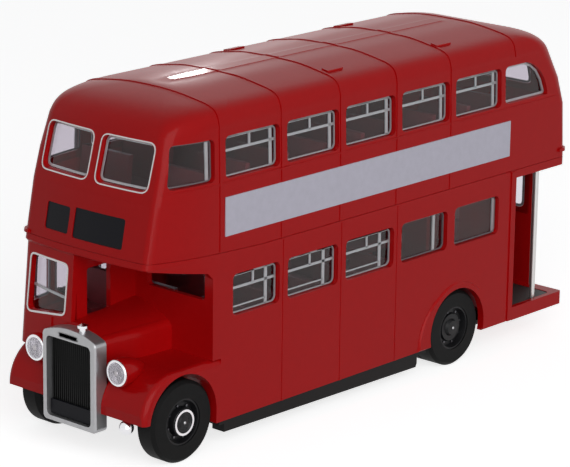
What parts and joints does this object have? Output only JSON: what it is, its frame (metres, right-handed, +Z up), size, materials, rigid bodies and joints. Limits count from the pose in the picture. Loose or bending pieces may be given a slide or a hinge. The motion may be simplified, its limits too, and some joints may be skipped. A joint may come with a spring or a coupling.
{
  "type": "die-cast model of a half-cab double-deck bus",
  "caption": "Die-cast model of a front-engined half-cab double-deck bus with an open rear platform, clear glazing, seats and free-turning wheels.",
  "frame": {"origin": "on the ground, below the centre of the model's bounding box", "axes": "+X forward towards the radiator, +Y to the nearside, which is the side with the open platform entrance, +Z up"},
  "size_m": [0.105, 0.0308, 0.0558],
  "materials": {
    "red_paint": "gloss",
    "base_black": "satin",
    "seat_red": "satin",
    "panel_white": "gloss",
    "screen_black": "gloss",
    "glazing": "gloss",
    "silver": "satin",
    "lamp": "polished",
    "grille_black": "matte",
    "tyre": "matte",
    "rim_black": "satin",
    "axle_steel": "satin",
    "pole_grey": "gloss"
  },
  "bodies": {
    "body": {"upper_body": "red_paint", "lower_body": "red_paint", "bonnet": "red_paint", "nearside_wing": "red_paint", "offside_wing": "red_paint", "platform": "red_paint", "platform_mat": "base_black", "destination_screens": "screen_black", "side_panels": "panel_white", "upper_glazing": "glazing", "lower_glazing": "glazing", "cab_glazing": "glazing", "bulkhead_glazing": "glazing", "rear_glazing": "glazing", "radiator_shell": "silver", "radiator_grille": "grille_black", "filler_cap": "lamp", "front_plate": "screen_black", "nearside_headlamp": "lamp", "offside_headlamp": "lamp", "fog_lamp": "lamp", "upper_floor": "seat_red", "upper_seats": "seat_red", "lower_floor": "seat_red", "lower_seats": "seat_red", "staircase": "seat_red", "cab_floor": "seat_red", "driver_seat": "seat_red", "steering_wheel": "base_black", "platform_pole": "pole_grey", "rear_rail": "pole_grey", "baseplate": "base_black", "side_rails": "base_black", "drive_line": "base_black"},
    "front_wheelset": {"front_axle": "axle_steel", "nut_guard_rings": "lamp", "front_nearside_rim": "rim_black", "front_offside_rim": "rim_black", "front_nearside_tyre": "tyre", "front_offside_tyre": "tyre"},
    "rear_wheelset": {"rear_axle": "axle_steel", "rear_nearside_rim": "rim_black", "rear_offside_rim": "rim_black", "rear_nearside_tyres": "tyre", "rear_offside_tyres": "tyre"}
  },
  "joints": [
    {"name": "front_wheels_spin", "type": "hinge", "parent": "body", "child": "front_wheelset", "pos_m": [0.0425, 0, 0.0065], "axis": [0, 1, 0], "continuous": true},
    {"name": "rear_wheels_spin", "type": "hinge", "parent": "body", "child": "rear_wheelset", "pos_m": [-0.023, 0, 0.0065], "axis": [0, 1, 0], "continuous": true}
  ]
}
